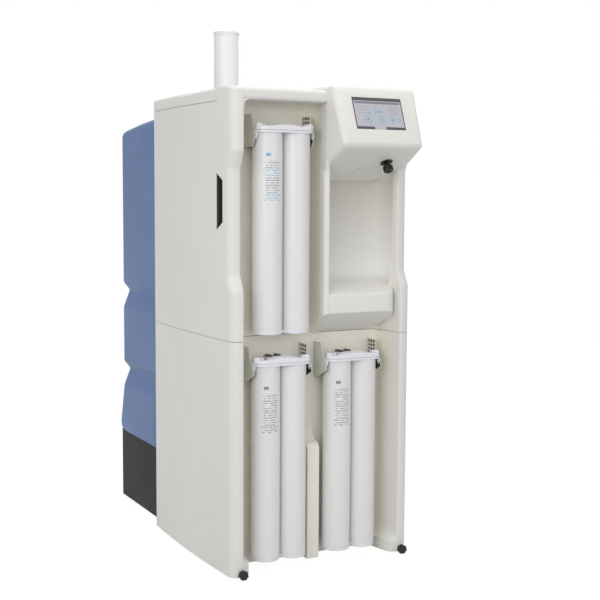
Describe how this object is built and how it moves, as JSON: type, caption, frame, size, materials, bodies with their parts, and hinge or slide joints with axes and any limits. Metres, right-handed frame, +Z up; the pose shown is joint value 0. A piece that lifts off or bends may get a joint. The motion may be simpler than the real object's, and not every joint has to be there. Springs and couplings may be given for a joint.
{
  "type": "laboratory water purifier",
  "caption": "Floor-standing laboratory water purifier with pull-out twin-tube cartridges in open bays, a tilted touch console over a dispensing alcove and a storage tank docked behind.",
  "frame": {"origin": "on the floor under the middle of the whole machine's width and depth", "axes": "+X to the right as seen from the front, +Y towards the tank at the back, +Z up"},
  "size_m": [0.556, 1.0184, 1.491],
  "materials": {
    "white_panel": "satin, finely textured",
    "bay_panel": "satin",
    "console_white": "semi-gloss",
    "grip_grey": "matt",
    "display_glass": "smooth",
    "screen": "smooth",
    "fitting_black": "satin",
    "blank_white": "semi-gloss",
    "knob_black": "satin",
    "washer_steel": "bright",
    "sheet_grey": "powder coat",
    "foot_rubber": "matt",
    "frame_steel": "powder coat",
    "vessel_white": "satin",
    "pump_alloy": "cast",
    "reactor_steel": "brushed",
    "hose_blue": "satin",
    "valve_grey": "satin",
    "tank_blue": "satin, rotation-moulded",
    "lid_blue": "satin",
    "filter_white": "satin",
    "plinth_black": "matt",
    "dock_steel": "brushed",
    "stub_grey": "satin",
    "bracket_grey": "matt",
    "tube_white": "satin",
    "cap_white": "semi-gloss",
    "handle_white": "semi-gloss"
  },
  "bodies": {
    "cabinet": {"alcove_back": "bay_panel", "base_tray": "sheet_grey", "blank_cover": "blank_white", "booster_pump": "pump_alloy", "chassis_frame": "frame_steel", "console_shell": "console_white", "control_box": "sheet_grey", "dispense_ledge": "bay_panel", "display_board": "screen", "display_glass": "display_glass", "divider_post": "bay_panel", "feed_manifold": "pump_alloy", "front_header": "white_panel", "grip_cups": "grip_grey", "level_probe": "reactor_steel", "lower_back_panel": "bay_panel", "lower_left_bracket": "bracket_grey", "lower_left_side": "white_panel", "lower_right_bracket": "bracket_grey", "lower_right_side": "white_panel", "membrane_vessels": "vessel_white", "outlet_flange": "fitting_black", "port_valves": "valve_grey", "power_inlet": "fitting_black", "rear_panel": "sheet_grey", "rubber_feet": "foot_rubber", "supply_hoses": "hose_blue", "tank_base": "plinth_black", "tank_body": "tank_blue", "tank_dock": "dock_steel", "tank_lid": "lid_blue", "upper_back_panel": "bay_panel", "upper_bracket": "bracket_grey", "upper_left_side": "white_panel", "upper_right_side": "white_panel", "uv_reactor": "reactor_steel", "water_fittings": "stub_grey"},
    "top_cover": {"top_cover": "white_panel"},
    "vent_filter": {"vent_filter": "filter_white"},
    "outlet_nozzle": {"outlet_nozzle": "fitting_black"},
    "rocker_switch": {"rocker_switch": "fitting_black"},
    "left_washer": {"left_star_washer": "washer_steel"},
    "right_washer": {"right_star_washer": "washer_steel"},
    "left_knob": {"left_star_knob": "knob_black"},
    "right_knob": {"right_star_knob": "knob_black"},
    "upper_cartridge": {"upper_tubes": "tube_white", "upper_end_caps": "cap_white", "upper_head": "cap_white", "upper_ports": "fitting_black"},
    "upper_handle": {"upper_handle": "handle_white"},
    "lower_left_cartridge": {"lower_left_tubes": "tube_white", "lower_left_end_caps": "cap_white", "lower_left_head": "cap_white", "lower_left_ports": "fitting_black"},
    "lower_left_handle": {"lower_left_handle": "handle_white"},
    "lower_right_cartridge": {"lower_right_tubes": "tube_white", "lower_right_end_caps": "cap_white", "lower_right_head": "cap_white", "lower_right_ports": "fitting_black"},
    "lower_right_handle": {"lower_right_handle": "handle_white"}
  },
  "joints": [
    {"name": "top_cover_lift", "type": "slide", "parent": "cabinet", "child": "top_cover", "axis": [0, 0, 1], "range_m": [0, 0.06]},
    {"name": "vent_filter_lift", "type": "slide", "parent": "cabinet", "child": "vent_filter", "axis": [0, 0, 1], "range_m": [0, 0.04]},
    {"name": "outlet_turn", "type": "hinge", "parent": "cabinet", "child": "outlet_nozzle", "pos_m": [0.177, -0.43977, 1.0851], "axis": [0, -0.4578, -0.889], "range_deg": [0, 90]},
    {"name": "rocker_tilt", "type": "hinge", "parent": "cabinet", "child": "rocker_switch", "pos_m": [0.127, 0.49023, 0.15], "axis": [1, 0, 0], "range_deg": [-8, 8]},
    {"name": "upper_cartridge_slide", "type": "slide", "parent": "cabinet", "child": "upper_cartridge", "axis": [0, -1, 0], "range_m": [0, 0.12]},
    {"name": "upper_handle_lift", "type": "hinge", "parent": "upper_cartridge", "child": "upper_handle", "pos_m": [-0.103, -0.39077, 1.1725], "axis": [-1, 0, 0], "range_deg": [0, 80]},
    {"name": "lower_left_cartridge_slide", "type": "slide", "parent": "cabinet", "child": "lower_left_cartridge", "axis": [0, -1, 0], "range_m": [0, 0.12]},
    {"name": "lower_left_handle_lift", "type": "hinge", "parent": "lower_left_cartridge", "child": "lower_left_handle", "pos_m": [-0.108, -0.39077, 0.5685], "axis": [-1, 0, 0], "range_deg": [0, 80]},
    {"name": "lower_right_cartridge_slide", "type": "slide", "parent": "cabinet", "child": "lower_right_cartridge", "axis": [0, -1, 0], "range_m": [0, 0.12]},
    {"name": "lower_right_handle_lift", "type": "hinge", "parent": "lower_right_cartridge", "child": "lower_right_handle", "pos_m": [0.108, -0.39077, 0.5685], "axis": [-1, 0, 0], "range_deg": [0, 80]},
    {"name": "left_washer_slide", "type": "slide", "parent": "cabinet", "child": "left_washer", "axis": [0, -1, 0], "range_m": [0, 0.01]},
    {"name": "left_knob_turn", "type": "hinge", "parent": "left_washer", "child": "left_knob", "pos_m": [-0.2428, -0.43377, 0.0184], "axis": [0, -1, 0], "range_deg": [0, 2880]},
    {"name": "right_washer_slide", "type": "slide", "parent": "cabinet", "child": "right_washer", "axis": [0, -1, 0], "range_m": [0, 0.01]},
    {"name": "right_knob_turn", "type": "hinge", "parent": "right_washer", "child": "right_knob", "pos_m": [0.2428, -0.43377, 0.0184], "axis": [0, -1, 0], "range_deg": [0, 2880]}
  ],
  "couplings": [
    {"joint": "left_knob_turn", "follows": "left_washer_slide", "rad_per_m": 5026.5},
    {"joint": "right_knob_turn", "follows": "right_washer_slide", "rad_per_m": 5026.5}
  ]
}
